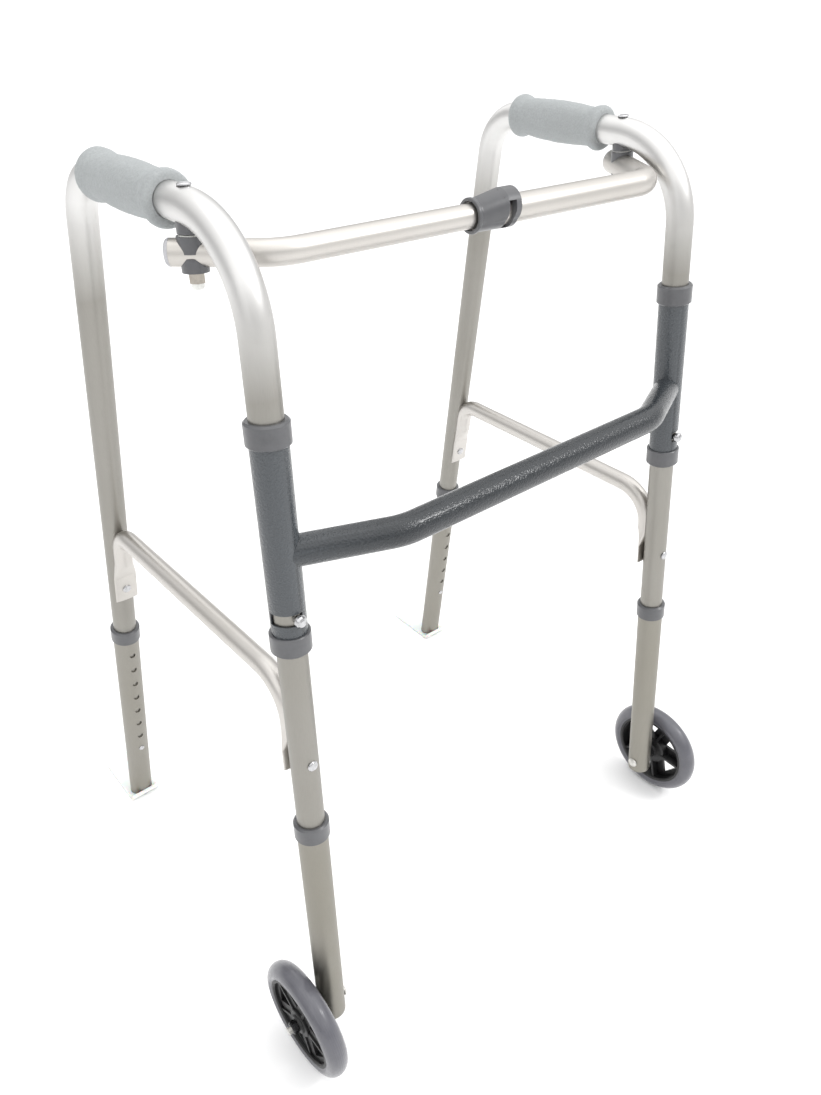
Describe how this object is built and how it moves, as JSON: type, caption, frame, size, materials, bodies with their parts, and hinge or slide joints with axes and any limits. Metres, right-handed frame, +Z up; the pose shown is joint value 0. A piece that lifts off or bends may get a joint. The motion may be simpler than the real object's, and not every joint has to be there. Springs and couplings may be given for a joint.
{
  "type": "folding walking frame",
  "caption": "Folding walking frame of bent tubes with front wheels, rear ski glides, foam handgrips, a bowed cross member and a telescopic top bar.",
  "frame": {"origin": "on the floor, at the centre of the overall footprint", "axes": "+Z up, -Y towards the front (the wheels), -X the left side seen from the front"},
  "size_m": [0.626, 0.5845, 0.8468],
  "materials": {
    "aluminium": "satin anodised",
    "hammertone": "hammertone enamel, glossy",
    "plastic_grey": "moulded",
    "plastic_silver": "moulded, silver grey",
    "foam_grey": "closed-cell foam",
    "tyre_grey": "smooth, slightly glossy",
    "plastic_black": "moulded",
    "plastic_milky": "translucent nylon",
    "plastic_white": "nylon",
    "steel": "zinc plated, darkened",
    "chrome": "bright"
  },
  "bodies": {
    "cross_member": {"cross_tube": "hammertone", "left_sleeve": "hammertone", "right_sleeve": "hammertone", "sleeve_collars": "plastic_grey"},
    "left_side": {"left_side_tube": "aluminium", "left_side_brace": "aluminium", "left_brace_rivets": "chrome", "left_grip": "foam_grey", "left_stop_pin": "chrome", "left_pivot_bolt": "chrome", "left_upper_saddle": "plastic_grey"},
    "right_side": {"right_side_tube": "aluminium", "right_side_brace": "aluminium", "right_brace_rivets": "chrome", "right_grip": "foam_grey", "right_stop_pin": "chrome", "right_pivot_bolt": "chrome", "right_upper_saddle": "plastic_grey", "right_pivot_nut": "steel", "right_pivot_nut_cap": "plastic_white"},
    "right_pivot_washer": {"right_pivot_washer": "plastic_white"},
    "bar_outer": {"outer_bar_tube": "aluminium", "right_bar_end_cap": "plastic_silver", "right_lower_saddle": "plastic_grey", "right_saddle_washer": "plastic_grey"},
    "bar_guide": {"telescope_guide_bush": "plastic_grey"},
    "bar_inner": {"inner_bar_tube": "aluminium", "left_bar_end_cap": "plastic_silver", "left_lower_saddle": "plastic_grey", "left_saddle_washer": "plastic_grey", "left_pivot_washer": "plastic_white", "left_pivot_stud": "steel", "left_pivot_nut": "steel", "left_pivot_nut_cap": "plastic_white"},
    "latch_collar": {"latch_collar": "plastic_grey"},
    "latch_pin": {"latch_pin": "steel"},
    "left_front_leg": {"left_front_extension": "aluminium", "left_front_extension_collar": "plastic_grey", "left_axle_bolt": "steel", "left_axle_nut": "steel", "left_axle_spacer": "plastic_black"},
    "left_rear_leg": {"left_rear_extension": "aluminium", "left_rear_extension_collar": "plastic_grey", "left_ski_glide": "plastic_milky"},
    "left_wheel": {"left_tyre": "tyre_grey", "left_wheel_hub": "plastic_black"},
    "left_front_button": {"left_front_snap_button": "chrome"},
    "left_rear_button": {"left_rear_snap_button": "chrome"},
    "right_front_leg": {"right_front_extension": "aluminium", "right_front_extension_collar": "plastic_grey", "right_axle_bolt": "steel", "right_axle_nut": "steel", "right_axle_spacer": "plastic_black"},
    "right_rear_leg": {"right_rear_extension": "aluminium", "right_rear_extension_collar": "plastic_grey", "right_ski_glide": "plastic_milky"},
    "right_wheel": {"right_tyre": "tyre_grey", "right_wheel_hub": "plastic_black"},
    "right_front_button": {"right_front_snap_button": "chrome"},
    "right_rear_button": {"right_rear_snap_button": "chrome"}
  },
  "joints": [
    {"name": "left_fold", "type": "hinge", "parent": "cross_member", "child": "left_side", "pos_m": [-0.2619, -0.234, 0], "axis": [-0.0424, -0.0816, -0.9958], "range_deg": [0, 50]},
    {"name": "right_fold", "type": "hinge", "parent": "cross_member", "child": "right_side", "pos_m": [0.2619, -0.234, 0], "axis": [-0.0424, 0.0816, 0.9958], "range_deg": [0, 78]},
    {"name": "right_pivot", "type": "hinge", "parent": "right_side", "child": "right_pivot_washer", "pos_m": [0.22906, -0.0975, 0.7975], "axis": [-0.0424, 0.0816, 0.9958], "range_deg": [-86.88, 0]},
    {"name": "bar_swing", "type": "hinge", "parent": "right_pivot_washer", "child": "bar_outer", "pos_m": [0.22906, -0.0975, 0.7975], "axis": [0, 0, 1], "range_deg": [0, 2.76]},
    {"name": "bar_slide_left", "type": "slide", "parent": "bar_outer", "child": "bar_guide", "axis": [0.9984, -0.057, 0], "range_m": [0, 0.05531]},
    {"name": "bar_slide_right", "type": "slide", "parent": "bar_guide", "child": "bar_inner", "axis": [0.9984, -0.057, 0], "range_m": [0, 0.06783]},
    {"name": "latch_collar_slide", "type": "slide", "parent": "bar_outer", "child": "latch_collar", "axis": [-0.9984, 0.057, 0], "range_m": [-0.007, 0]},
    {"name": "latch_pin_slide", "type": "slide", "parent": "bar_outer", "child": "latch_pin", "axis": [0, -0.5026, 0.8645], "range_m": [-0.0035, 0]},
    {"name": "left_front_height", "type": "slide", "parent": "left_side", "child": "left_front_leg", "axis": [-0.0424, -0.0816, -0.9958], "range_m": [0, 0.1778], "deforming": ["left_front_snap_button"]},
    {"name": "left_front_button_press", "type": "slide", "parent": "left_side", "child": "left_front_button", "axis": [0.0194, -0.9965, 0.0808], "range_m": [0, 0.005], "stiffness_N_per_m": 800, "springref_m": -0.002},
    {"name": "left_rear_height", "type": "slide", "parent": "left_side", "child": "left_rear_leg", "axis": [-0.0459, 0.1679, -0.9847], "range_m": [0, 0.1778], "deforming": ["left_rear_snap_button"]},
    {"name": "left_rear_button_press", "type": "slide", "parent": "left_side", "child": "left_rear_button", "axis": [-0.0082, 0.9857, 0.1684], "range_m": [0, 0.005], "stiffness_N_per_m": 800, "springref_m": -0.002},
    {"name": "left_wheel_spin", "type": "hinge", "parent": "left_front_leg", "child": "left_wheel", "pos_m": [-0.2905, -0.2288, 0.0635], "axis": [1, 0, 0], "continuous": true},
    {"name": "right_front_height", "type": "slide", "parent": "right_side", "child": "right_front_leg", "axis": [0.0424, -0.0816, -0.9958], "range_m": [0, 0.1778], "deforming": ["right_front_snap_button"]},
    {"name": "right_front_button_press", "type": "slide", "parent": "right_side", "child": "right_front_button", "axis": [-0.0194, -0.9965, 0.0808], "range_m": [0, 0.005], "stiffness_N_per_m": 800, "springref_m": -0.002},
    {"name": "right_rear_height", "type": "slide", "parent": "right_side", "child": "right_rear_leg", "axis": [0.0459, 0.1679, -0.9847], "range_m": [0, 0.1778], "deforming": ["right_rear_snap_button"]},
    {"name": "right_rear_button_press", "type": "slide", "parent": "right_side", "child": "right_rear_button", "axis": [0.0082, 0.9857, 0.1684], "range_m": [0, 0.005], "stiffness_N_per_m": 800, "springref_m": -0.002},
    {"name": "right_wheel_spin", "type": "hinge", "parent": "right_front_leg", "child": "right_wheel", "pos_m": [0.2905, -0.2288, 0.0635], "axis": [1, 0, 0], "continuous": true}
  ],
  "couplings": [
    {"joint": "right_pivot", "follows": "right_fold", "ratio": -1.1133},
    {"joint": "bar_swing", "follows": "left_fold", "ratio": 0.055265},
    {"joint": "bar_slide_left", "follows": "left_fold", "m_per_rad": 0.063346},
    {"joint": "bar_slide_right", "follows": "right_fold", "m_per_rad": 0.049797},
    {"joint": "latch_pin_slide", "follows": "latch_collar_slide", "ratio": 0.5}
  ]
}
